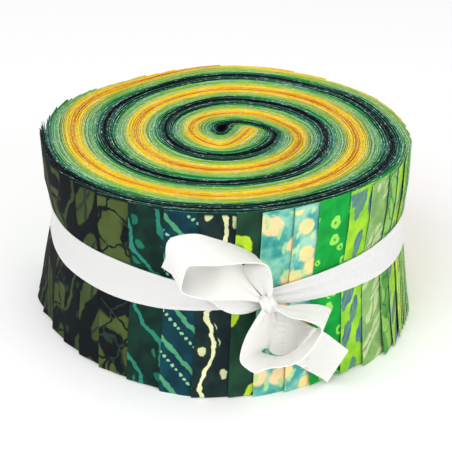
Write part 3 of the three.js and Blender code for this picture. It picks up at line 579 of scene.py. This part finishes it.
# The cloths, from the inmost layer of the stack to the outmost
# Hand-dyed cottons with generic prints: the colours of ground, pools, motif and detail, the print with its
# size in millimetres, its turn and how far along it the strip starts, and the colour of the cut edge.
CUT_THREAD, PALE_FLECK, DARK_FLECK, DARK_FROM = "#dbe8dc", 0.8, 0.22, 37
# Colour and share of the painted shade in the gaps between the cut edges
GAP_SHADE_COLOUR, GAP_SHADE_SHARE = "#3c5a34", 0.38
DRAWN_WAVE, DRAWN_REACH = 0.35, (1.6, 1.6, 0)
PRINT_SHIFT, DYE_SHIFT = (3.71, 1.37), (41.3, 17.9)
DYE_FADE, RIM_FADE = 0.22, (0.5, 1.5)
LOOK_COLUMNS = ("ground", "pool", "motif", "detail", "print", "size", "turn", "start", "edge")
LOOKS = [
    ("#d9862a", "#c8702a", "#efb65a", "#a85a20", "leaves", 9, 10, 0, "#f0b43c"),
    ("#e69a2a", "#d8862a", "#f4c86a", "#b86a24", "vines", 9, 80, 0, "#f2bc34"),
    ("#ecaa2a", "#de9628", "#f6d27c", "#c07a26", "rings", 6, 0, 0, "#f2c41e"),
    ("#efc022", "#e4ae24", "#f8de86", "#c88a28", "blobs", 9, 20, 0, "#f4d018"),
    ("#f0ca20", "#e6b822", "#f9e492", "#cc962a", "leaves", 7, 50, 0, "#f4d814"),
    ("#f2d222", "#e8c024", "#fae89c", "#d09e2c", "crackle", 8, 0, 0, "#f4dc16"),
    ("#f2d424", "#e8c024", "#faeaa0", "#cf9428", "rings", 5, 0, 0, "#f3da1c"),
    ("#f3d62a", "#e8c228", "#f7eeb4", "#c98f2a", "vines", 8, 60, 0, "#f4de26"),
    ("#f4d830", "#eac62c", "#c9bf4a", "#faf0b8", "leaves", 8, 0, 0, "#f4de34"),
    ("#f3d23c", "#e9bd30", "#fbf2bd", "#b8ab3c", "blobs", 8, 70, 0, "#f2de44"),
    ("#efd440", "#dfc236", "#b9c24c", "#faf4c6", "rings", 6, 0, 0, "#ecd850"),
    ("#e6d244", "#d2c03a", "#9db248", "#f6f0b2", "leaves", 7, 30, 0, "#e0d462"),
    ("#d8cf46", "#c3bd3c", "#8aa646", "#f0ecb0", "vines", 8, 75, 0, "#ccd070"),
    ("#c9cc48", "#b0b83e", "#7b9c48", "#eceaa8", "blobs", 8, 0, 0, "#b2ca78"),
    ("#c8d444", "#aac03c", "#6f9448", "#e6e8a6", "rings", 5, 0, 0, "#98c07a"),
    ("#bed644", "#a0bc3c", "#e0e08a", "#5f8a4a", "leaves", 8, 15, 0, "#80b674"),
    ("#b2d244", "#94b83c", "#dfe39a", "#567f5c", "crackle", 8, 0, 0, "#6ca86c"),
    ("#aad046", "#8cb43e", "#cfe08c", "#4a7c58", "vines", 7, 65, 0, "#8cbe90"),
    ("#a9cf52", "#86b048", "#5d7a86", "#e6ea96", "leaves", 8, 40, 0, "#aacfb0"),
    ("#b5d254", "#94b84a", "#6a6f94", "#eff0a0", "blobs", 7, 0, 0, "#6aa868"),
    ("#a4cc50", "#84ae46", "#5f9a52", "#e2ea92", "rings", 6, 0, 0, "#5a9e62"),
    ("#b9d455", "#98bb4a", "#6c8f4c", "#f2f0a4", "leaves", 6, 70, 0, "#88bc94"),
    ("#b4d436", "#93c23a", "#e8e96a", "#6b9a3c", "vines", 7, 70, 0, "#509858"),
    ("#a6cf34", "#86b832", "#5b5f86", "#4f9a3c", "leaves", 8, 35, 4, "#a0ccb0"),
    ("#5e9c40", "#458436", "#8dbb5e", "#3c6b42", "crackle", 9, 0, 2, "#448e58"),
    ("#8ab068", "#6f9a56", "#b4c890", "#668c58", "leaves", 8, 40, 0, "#a8d2bc"),
    ("#9bd02c", "#7cba30", "#4a6c88", "#5b9a3e", "leaves", 7, 15, 1.6, "#4a9a62"),
    ("#12a03c", "#0c8a34", "#94d858", "#0f9238", "rings", 7.5, 0, 2.6, "#368c50"),
    ("#9ccdb4", "#3f9c94", "#f4d68c", "#bcd89a", "blobs", 9, 30, 5, "#8ac8bc"),
    ("#86c6ae", "#2c9088", "#f2cc98", "#a4d08c", "blobs", 10.5, 0, 2, "#6ab8aa"),
    ("#1f4430", "#153626", "#b9dc2c", "#3f8a40", "rings", 21, 0, 0, "#3c8a60"),
    ("#1c2f2c", "#101f22", "#e2e4b0", "#c9cf9c", "vines", 11, 4, 0.8, "#2f7c5c"),
    ("#0d3e48", "#092e3a", "#4f9c70", "#8fc795", "bars", 10, 85, 0, "#60a894"),
    ("#0f3429", "#0a231e", "#2a806c", "#1f6e58", "vines", 12, -32, 0.3, "#3a8468"),
    ("#0d1418", "#080e12", "#4b5a2c", "#26382a", "crackle", 10, 0, 0, "#4c9074"),
    ("#0b1217", "#070c10", "#404e2a", "#242f24", "leaves", 13, 25, 0, "#2c6c58"),
    ("#0b1218", "#070c10", "#3c482a", "#222f24", "vines", 10, 20, 0, "#1f5550"),
    ("#0c1318", "#070c10", "#45522c", "#263426", "crackle", 10, 40, 0, "#0d2228"),
    ("#0a1116", "#060b0e", "#3a4628", "#202c22", "leaves", 10, -20, 0, "#12292e"),
    ("#0b1216", "#070c0f", "#404a2a", "#242f24", "vines", 9, 15, 0, "#0d1c22"),
]


def grouped(tree, group, place):
    """A node that runs a group on a place, with its outputs."""
    node = tree.nodes.new("ShaderNodeGroup")
    node.node_tree = group
    tree.links.new(place, node.inputs["Place"])
    return node.outputs


def cut_edge(tree, look, number, place):
    """The colour of a cut edge, with long changes of dye, painted shade in the gaps between layers and pale
    cut threads.
    """
    long = noise(tree, turned(tree, place, 0, (0.09, 1, 1)), 1.0, 2).outputs["Fac"]
    short = noise(tree, turned(tree, place, 0, (0.6, 3, 1)), 1.0, 3).outputs["Fac"]
    change = calc(tree, "MULTIPLY", soft_step(tree, long, 0.40, 0.66), 0.2)
    # Painted shade: short dashes along the edge darken toward a dark green, standing in for the shade in the
    # gaps between layers
    gaps = calc(tree, "MULTIPLY", soft_step(tree, short, 0.46, 0.30), GAP_SHADE_SHARE)
    fleck = PALE_FLECK if number < DARK_FROM else DARK_FLECK
    threads = calc(tree, "MULTIPLY", soft_step(tree, short, 0.54, 0.74), fleck)
    edge = blend(tree, change, linear(look["edge"]), linear(look["ground"]))
    edge = blend(tree, gaps, edge, linear(GAP_SHADE_COLOUR))
    return blend(tree, threads, edge, linear(CUT_THREAD))


def printed_cotton(name, look, number):
    """A hand-dyed printed cotton that reads the sheet's map, with flecked edges where it is cut."""
    material = bpy.data.materials.new(name)
    material.use_nodes = True
    tree = material.node_tree
    place = wire(tree, "ShaderNodeUVMap", uv_map="cloth").outputs[0]
    drift = moved_by(tree, noise(tree, place, DRAWN_WAVE, 2).outputs["Color"], DRAWN_REACH, "MULTIPLY")
    drawn = moved_by(tree, place, drift)
    scale = 1 / look["size"]
    start = (number * PRINT_SHIFT[0] + look["start"], number * PRINT_SHIFT[1], 0)
    drawn = turned(tree, drawn, look["turn"], (scale, scale, 1), start)
    motifs = grouped(tree, PRINTS[look["print"]], drawn)
    shifted = turned(tree, place, 0, (1, 1, 1), (number * DYE_SHIFT[0], number * DYE_SHIFT[1], 0))
    pool = grouped(tree, DYE, shifted)["Pool"]
    colour = blend(tree, pool, linear(look["ground"]), linear(look["pool"]))
    fade = calc(tree, "SUBTRACT", 1.0, calc(tree, "MULTIPLY", pool, DYE_FADE))
    across = wire(tree, "ShaderNodeSeparateXYZ", {0: place}).outputs["Y"]
    below_rim = soft_step(tree, across, HEIGHT - RIM_FADE[0], HEIGHT - RIM_FADE[1])
    fade = calc(tree, "MULTIPLY", fade, below_rim)
    colour = blend(tree, calc(tree, "MULTIPLY", motifs["Motif"], fade), colour, linear(look["motif"]))
    colour = blend(tree, calc(tree, "MULTIPLY", motifs["Detail"], fade), colour, linear(look["detail"]))
    rim = wire(tree, "ShaderNodeAttribute", attribute_name="rim").outputs["Fac"]
    height = grouped(tree, WEAVE, place)["Height"]
    bump = wire(tree, "ShaderNodeBump", {"Strength": 0.35, "Distance": 0.00006, "Height": height})
    shader = tree.nodes["Principled BSDF"]
    shader.inputs["Roughness"].default_value = 0.85
    shader.inputs["Specular IOR Level"].default_value = 0.15
    colour = blend(tree, rim, colour, cut_edge(tree, look, number, shifted))
    tree.links.new(colour, shader.inputs["Base Color"])
    tree.links.new(bump.outputs[0], shader.inputs["Normal"])
    return material


HALF_PANEL = 5


def nearest_strip(node):
    """The layer whose loose end shows nearest to an end of the model."""
    low, high = (np.array(corner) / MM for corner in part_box(node))
    x, y = ((low + high) / 2)[:2] - (AXIS_X, AXIS_Y)
    azimuth = math.degrees(math.atan2(x, -y))
    shown = [(inner_end[layer] + HALF_PANEL, layer) for layer in range(STRIPS)]
    shown += [(outer_end[layer] + HALF_PANEL, layer) for layer in range(STRIPS)]
    return min(shown, key=lambda end: abs((end[0] - azimuth + 180) % 360 - 180))[1]


for number, (strip, row) in enumerate(zip(strips, LOOKS)):
    look = dict(zip(LOOK_COLUMNS, row))
    strip.data.materials.append(printed_cotton(strip.name, look, number))
    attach(strip, "root")
    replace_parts(strip, "roll")
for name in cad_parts:
    if name.startswith("strip_end_"):
        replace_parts(strips[nearest_strip(name)], name)

# The ribbon
# One white woven ribbon goes round the waist and is gathered into a small knot and a bow with two loops and
# two tails. Each stretch is a thin sheet through rows of its two edges, measured from the knot's place.
RIBBON_WIDTH, RIBBON_THICK, RIBBON_OFF = 13.5, 0.3, 0.25
KNOT_AZIMUTH, KNOT_HEIGHT, KNOT_RADIUS = 12.7, 32.7, 60.2
KNOT = {"across": -1.2, "up": 1.2, "out": 3.2, "half_width": 2.5, "half_height": 3.0, "half_depth": 3.2}
LOOP_LEFT = [
    {"low": (-3.2, 2.1, 4.0), "high": (-2.5, 2.2, 2.5)},
    {"low": (-9.4, 5.7, 8.0), "high": (-8.6, 13.6, 0.8)},
    {"low": (-16.2, 8.3, 11.0), "high": (-13.4, 19.2, 0.5)},
    {"low": (-21.4, 9.9, 12.5), "high": (-20.3, 15.8, -0.5)},
    {"low": (-26.2, 12.2, 13.5), "high": (-25.9, 14.4, 0.0)},
    {"low": (-29.7, 15.0, 14.5), "high": (-29.1, 12.2, 2.0)},
    {"low": (-29.5, 19.0, 15.5), "high": (-31.2, 17.5, 4.0)},
    {"low": (-28.4, 23.4, 16.5), "high": (-32.5, 23.7, 6.0)},
    {"low": (-26.7, 24.3, 17.0), "high": (-31.2, 28.6, 7.4)},
    {"low": (-21.0, 23.6, 17.0), "high": (-24.0, 28.0, 5.0)},
    {"low": (-16.4, 23.2, 16.5), "high": (-17.9, 25.3, 4.0)},
    {"low": (-9.8, 22.1, 15.0), "high": (-10.1, 20.9, 2.5)},
    {"low": (-5.2, 20.4, 13.5), "high": (-4.3, 16.0, 1.5)},
    {"low": (-3.0, 17.3, 12.0), "high": (-8.6, 13.2, 1.0)},
    {"low": (-1.4, 11.2, 9.0), "high": (-8.2, 8.0, 1.2)},
    {"low": (-0.5, 5.8, 5.5), "high": (-4.6, 4.0, 2.0)},
    {"low": (-1.5, 3.2, 4.5), "high": (-2.4, 1.9, 2.0)},
]
LOOP_RIGHT = [
    {"low": (-1.0, 1.4, 5.0), "high": (-0.3, 0.2, 2.5)},
    {"low": (1.1, 0.6, 9.0), "high": (4.7, -1.6, 1.5)},
    {"low": (4.3, -0.5, 11.0), "high": (9.6, -2.0, 1.0)},
    {"low": (8.1, -0.7, 13.0), "high": (15.4, -3.0, 1.0)},
    {"low": (11.9, -2.4, 14.0), "high": (18.7, -4.3, 1.5)},
    {"low": (12.7, -3.4, 14.3), "high": (19.2, -5.2, 1.7)},
    {"low": (12.4, -5.3, 14.5), "high": (17.9, -8.5, 2.0)},
    {"low": (9.5, -10.2, 14.5), "high": (14.9, -11.4, 2.0)},
    {"low": (5.5, -14.1, 14.5), "high": (11.3, -15.6, 2.0)},
    {"low": (0.4, -15.0, 14.5), "high": (7.2, -18.2, 2.0)},
    {"low": (-3.8, -14.9, 14.5), "high": (3.4, -19.3, 2.0)},
    {"low": (-7.5, -15.9, 14.5), "high": (-0.5, -18.0, 2.0)},
    {"low": (-10.4, -14.0, 14.0), "high": (-2.8, -16.6, 2.0)},
    {"low": (-11.9, -12.0, 13.0), "high": (-2.0, -15.6, 1.5)},
    {"low": (-11.1, -9.5, 11.0), "high": (0.1, -15.1, 1.5)},
    {"low": (-9.0, -6.1, 9.0), "high": (0.9, -11.1, 1.2)},
    {"low": (-6.2, -3.2, 7.0), "high": (1.6, -6.8, 1.2)},
    {"low": (-2.8, 0.2, 5.0), "high": (0.5, -1.6, 2.0)},
]
TAIL_RIGHT = [
    {"low": (-0.1, -1.5, 2.0), "high": (0.6, -1.1, 1.6)},
    {"low": (-1.7, -9.0, 1.0), "high": (4.3, -3.7, 1.0)},
    {"low": (0.0, -16.9, 0.8), "high": (8.5, -6.9, 0.8)},
    {"low": (4.2, -19.7, 0.6), "high": (13.0, -10.3, 0.6)},
    {"low": (10.0, -24.5, 0.2), "high": (17.8, -13.5, 0.3)},
    {"low": (14.9, -28.4, 0.2), "high": (22.5, -18.0, -0.2)},
    {"low": (19.5, -32.1, 1.0), "high": (26.6, -22.2, -0.6)},
]
TAIL_LEFT = [
    {"low": (-2.7, -1.2, 2.0), "high": (-2.7, 0.2, 2.0)},
    {"low": (-6.5, -2.1, 2.6), "high": (-7.7, 3.3, 2.0)},
    {"low": (-10.6, -2.1, 2.6), "high": (-13.2, 6.9, 1.6)},
    {"low": (-14.5, -0.7, 2.0), "high": (-17.9, 10.6, 1.0)},
    {"low": (-19.9, 3.4, 0.0), "high": (-22.5, 14.3, 0.0)},
    {"low": (-25.2, 7.6, -2.4), "high": (-26.9, 16.3, -2.4)},
    {"low": (-31.9, 12.2, -6.0), "high": (-30.4, 16.5, -5.2)},
]
BAND_WIDTHS = [
    {"turned": 0, "width": 5.0}, {"turned": 4, "width": 6.4}, {"turned": 8, "width": 7.7},
    {"turned": 18, "width": 9.4}, {"turned": 38, "width": 11.8}, {"turned": 56, "width": 13.5},
    {"turned": 310, "width": 13.5}, {"turned": 328, "width": 11.9}, {"turned": 343, "width": 9.0},
    {"turned": 353, "width": 7.0}, {"turned": 360, "width": 5.0},
]
STRETCH_STEPS, ACROSS_STEPS, BAND_STEP = 5, 10, 3
ACROSS = np.linspace(0, 1, ACROSS_STEPS + 1)
PLEATS, PLEAT_DEPTH, PLEAT_REACH, BAND_PLEAT = 2.5, 0.45, 9, 1.3
CREASE_AT, CREASE_REACH, CREASE_RISE = 349, 11, 1.3
CREASE_LOW, CREASE_CLIMB, CREASE_SOFT = 0.1, 0.2, 0.1
WRAP_END, WRAP_ROWS, WRAP_SLANT = 115, 15, 0.8
WRAP_RIDGE, WRAP_CROWN = 0.10, 1.5
FAR_OUT, FELT_BESIDE = 90, (-1.5, 0, 1.5)

vertices, polygons = [], []
for strip in strips:
    polygons += [[len(vertices) + i for i in face.vertices] for face in strip.data.polygons]
    vertices += [vertex.co.copy() for vertex in strip.data.vertices]
cloth = BVHTree.FromPolygons(vertices, polygons)


def cloth_radius(azimuth, z):
    """Radius of the cloth's outside at an azimuth and a height, found from outside toward the axis."""
    x, y = bearing(azimuth)
    start = Vector(((x * FAR_OUT + AXIS_X) * MM, (y * FAR_OUT + AXIS_Y) * MM, z * MM))
    distance = cloth.ray_cast(start, Vector((-x, -y, 0)))[3]
    return FAR_OUT - distance / MM if distance is not None else OUTLINE_MEAN


def in_scene(points):
    """Points about the roll's axis in millimetres, as the scene has them."""
    return (points + (AXIS_X, AXIS_Y, 0)) * MM


def bow_point(across, up, out):
    """A point of the bow, held clear of the cloth behind it."""
    nx, ny = bearing(KNOT_AZIMUTH)
    x, y = nx * (KNOT_RADIUS + out) - ny * across, ny * (KNOT_RADIUS + out) + nx * across
    z = KNOT_HEIGHT + up
    radius = math.hypot(x, y)
    azimuth = math.degrees(math.atan2(x, -y))
    near = max(cloth_radius(azimuth + step, z) for step in FELT_BESIDE)
    least = near + RIBBON_OFF + RIBBON_THICK
    grow = max(1, least / radius)
    return x * grow, y * grow, z


def unit_normals(surface):
    normal = np.cross(np.gradient(surface, axis=0), np.gradient(surface, axis=1))
    return normal / np.linalg.norm(normal, axis=-1, keepdims=True)


def thin_sheet(middle):
    """Both faces of a sheet from its middle surface, with its map: length along it and place across it."""
    columns = middle.shape[1]
    length = np.repeat(run_along(middle[:, columns // 2])[:, None], columns, 1)
    place = np.repeat(np.linspace(0, RIBBON_WIDTH, columns)[None], len(middle), 0)
    half = unit_normals(middle) * RIBBON_THICK / 2
    return in_scene(middle + half), in_scene(middle - half), length, place


def bow_stretch(rows, gathered):
    """A stretch of the bow through rows of its edges, pleated where it is gathered into the knot."""
    edges = smooth_through_rows([[row["low"], row["high"]] for row in rows], STRETCH_STEPS)
    flat = edges[:, :1] + (edges[:, 1:] - edges[:, :1]) * ACROSS[None, :, None]
    placed = np.array([[bow_point(*point) for point in row] for row in flat])
    run = run_along(placed[:, ACROSS_STEPS // 2])
    near = np.exp(-(run / PLEAT_REACH) ** 2)
    if gathered == "both":
        near = np.maximum(near, np.exp(-((run[-1] - run) / PLEAT_REACH) ** 2))
    pleat = PLEAT_DEPTH * near[:, None] * np.cos(2 * math.pi * PLEATS * ACROSS)[None]
    return thin_sheet(placed + unit_normals(placed) * pleat[..., None])


def ribbon_band():
    """The band round the waist, drawn tight over the panels and gathered where it goes into the knot."""
    turned = np.arange(0, 360.01, BAND_STEP)
    azimuths = KNOT_AZIMUTH + turned
    widths = np.interp(turned, [row["turned"] for row in BAND_WIDTHS], [row["width"] for row in BAND_WIDTHS])
    z = ribbon_height(azimuths)[:, None] + widths[:, None] * (ACROSS - 0.5)[None]
    found = np.array([[cloth_radius(a, h) for h in row] for a, row in zip(azimuths, z)])
    reach = np.max([np.roll(found, k, 0) for k in (-1, 0, 1)], 0)
    tight = np.mean([np.roll(reach, k, 0) for k in (-1, 0, 1)], 0)
    gather = np.clip(1 - widths / RIBBON_WIDTH, 0, 1)[:, None]
    pleat = BAND_PLEAT * gather * (1 - np.cos(2 * math.pi * PLEATS * ACROSS)[None]) / 2
    off_crease = (azimuths - CREASE_AT)[:, None] / CREASE_REACH
    line = CREASE_LOW + CREASE_CLIMB * np.clip((off_crease + 1) / 2, 0, 1)
    crease = CREASE_RISE * np.exp(-off_crease ** 2) * smooth_step(ACROSS[None], line, line + CREASE_SOFT)
    radius = tight + RIBBON_OFF + pleat + crease
    level = bearing(azimuths)[:, None, :] * radius[..., None]
    return thin_sheet(np.concatenate([level, z[..., None]], -1)[::-1])


def knot_wrap():
    """The short stretch that wraps the knot from top to bottom."""
    rows = []
    for a in np.radians(np.linspace(-WRAP_END, WRAP_END, WRAP_ROWS)):
        row = []
        for v in ACROSS:
            ridge = 1 + WRAP_RIDGE * math.cos(2 * math.pi * PLEATS * v)
            full = ridge * math.sqrt(1 - (WRAP_CROWN * (v - 0.5)) ** 2)
            row.append((KNOT["across"] + KNOT["half_width"] * (2 * v - 1) + WRAP_SLANT * math.sin(a),
                        KNOT["up"] - KNOT["half_height"] * full * math.sin(a),
                        KNOT["out"] + KNOT["half_depth"] * full * math.cos(a)))
        rows.append([bow_point(*point) for point in row])
    return thin_sheet(np.array(rows))


stretches = [
    ribbon_band(), knot_wrap(), bow_stretch(LOOP_LEFT, "both"), bow_stretch(LOOP_RIGHT, "both"),
    bow_stretch(TAIL_RIGHT, "start"), bow_stretch(TAIL_LEFT, "start"),
]
ribbon = sheet_object("ribbon_bow", stretches)


def ribbon_weave():
    """Height of the ribbon's slanting weave, with cords across it at either edge."""
    edge_from, edge_full, cord_rise = RIBBON_WIDTH / 2 - 1.5, RIBBON_WIDTH / 2 - 1.1, 1.6
    group, place, out = shader_group("ribbon_weave", ["Height"])
    twill = {"Vector": turned(group, place, 40), "Scale": 0.5, "Distortion": 0.3, "Detail": 1.0}
    slant = wire(group, "ShaderNodeTexWave", twill, bands_direction="X").outputs["Fac"]
    cords = {"Vector": place, "Scale": 0.45, "Distortion": 0.1}
    cord = wire(group, "ShaderNodeTexWave", cords, bands_direction="X").outputs["Fac"]
    across = wire(group, "ShaderNodeSeparateXYZ", {0: place}).outputs["Y"]
    selvedge = soft_step(group, off_by(group, across, RIBBON_WIDTH / 2), edge_from, edge_full)
    sockets = {0: selvedge, 2: slant, 3: calc(group, "MULTIPLY", cord, cord_rise)}
    height = wire(group, "ShaderNodeMix", sockets).outputs[0]
    group.links.new(height, out.inputs["Height"])
    return group


def woven_ribbon(name, raised, hollow_shade):
    """A white ribbon painted darker where its weave is low, as shade in the hollows between the threads."""
    material = bpy.data.materials.new(name)
    material.use_nodes = True
    tree = material.node_tree
    place = wire(tree, "ShaderNodeUVMap", uv_map="cloth").outputs[0]
    height = grouped(tree, RIBBON_WEAVE, place)["Height"]
    bump = wire(tree, "ShaderNodeBump", {"Strength": 0.45, "Distance": 0.0001, "Height": height})
    shader = tree.nodes["Principled BSDF"]
    shader.inputs["Roughness"].default_value = 0.55
    shader.inputs["Subsurface Weight"].default_value = 0.5
    shader.inputs["Subsurface Radius"].default_value = (1, 1, 1)
    shader.inputs["Subsurface Scale"].default_value = 0.0012
    # Painted shade: the colour darkens toward the second colour where the weave is low, for the shade in its
    # hollows
    colour = blend(tree, calc(tree, "MULTIPLY", height, 0.45), hollow_shade, raised)
    tree.links.new(colour, shader.inputs["Base Color"])
    tree.links.new(bump.outputs[0], shader.inputs["Normal"])
    return material


RIBBON_WEAVE = ribbon_weave()
# One white ribbon in two copies: the band's darker, greyer colours are painted shade, the bow's are the
# ribbon as lit
RIBBON_LIT_AND_SHADED = [
    {"name": "ribbon_band", "raised": (0.83, 0.83, 0.82, 1), "hollow_shade": (0.69, 0.69, 0.68, 1)},
    {"name": "ribbon_bow", "raised": (0.90, 0.89, 0.86, 1), "hollow_shade": (0.79, 0.775, 0.74, 1)},
]
for tint in RIBBON_LIT_AND_SHADED:
    ribbon.data.materials.append(woven_ribbon(tint["name"], tint["raised"], tint["hollow_shade"]))
band_rows, band_columns = stretches[0][0].shape[:2]
band_faces = 2 * (band_rows - 1) * (band_columns - 1) + 2 * (band_rows + band_columns - 2)
# The band takes the copy with painted shade, the bow and the knot take the lit one
for face in ribbon.data.polygons:
    face.material_index = int(face.index >= band_faces)
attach(ribbon, "root")
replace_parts(ribbon, "ribbon")

# The floor and the light
# A pale seamless floor and large soft lamps, as in a product photograph.
bpy.ops.mesh.primitive_plane_add(size=6, location=(0, 0, 0))
floor = bpy.context.active_object
floor.name = "floor"
paper = bpy.data.materials.new("floor_paper")
paper.use_nodes = True
paper.node_tree.nodes["Principled BSDF"].inputs["Base Color"].default_value = (0.97, 0.97, 0.97, 1)
paper.node_tree.nodes["Principled BSDF"].inputs["Roughness"].default_value = 0.95
floor.data.materials.append(paper)
world = bpy.data.worlds.new("studio")
bpy.context.scene.world = world
world.use_nodes = True
world.node_tree.nodes["Background"].inputs["Color"].default_value = (1, 1, 1, 1)
world.node_tree.nodes["Background"].inputs["Strength"].default_value = 0.78
bpy.context.scene.view_settings.view_transform = "Standard"
LAMPS = [
    {"name": "key", "at": (-0.5, -0.7, 0.9), "size": 0.8, "watts": 6.5},
    {"name": "fill", "at": (0.6, -0.8, 0.3), "size": 0.8, "watts": 4.5},
]
LAMPS_AIM = (0, 0, 0.03)
for lamp in LAMPS:
    data = bpy.data.lights.new(lamp["name"], "AREA")
    data.size = lamp["size"]
    data.energy = lamp["watts"]
    made = bpy.data.objects.new(lamp["name"], data)
    made.location = lamp["at"]
    right, back, up = np.array(LAMPS_AIM) - lamp["at"]
    tilt = math.atan2(math.hypot(right, back), -up)
    made.rotation_euler = (tilt, 0, math.atan2(back, right) - math.pi / 2)
    bpy.context.scene.collection.objects.link(made)
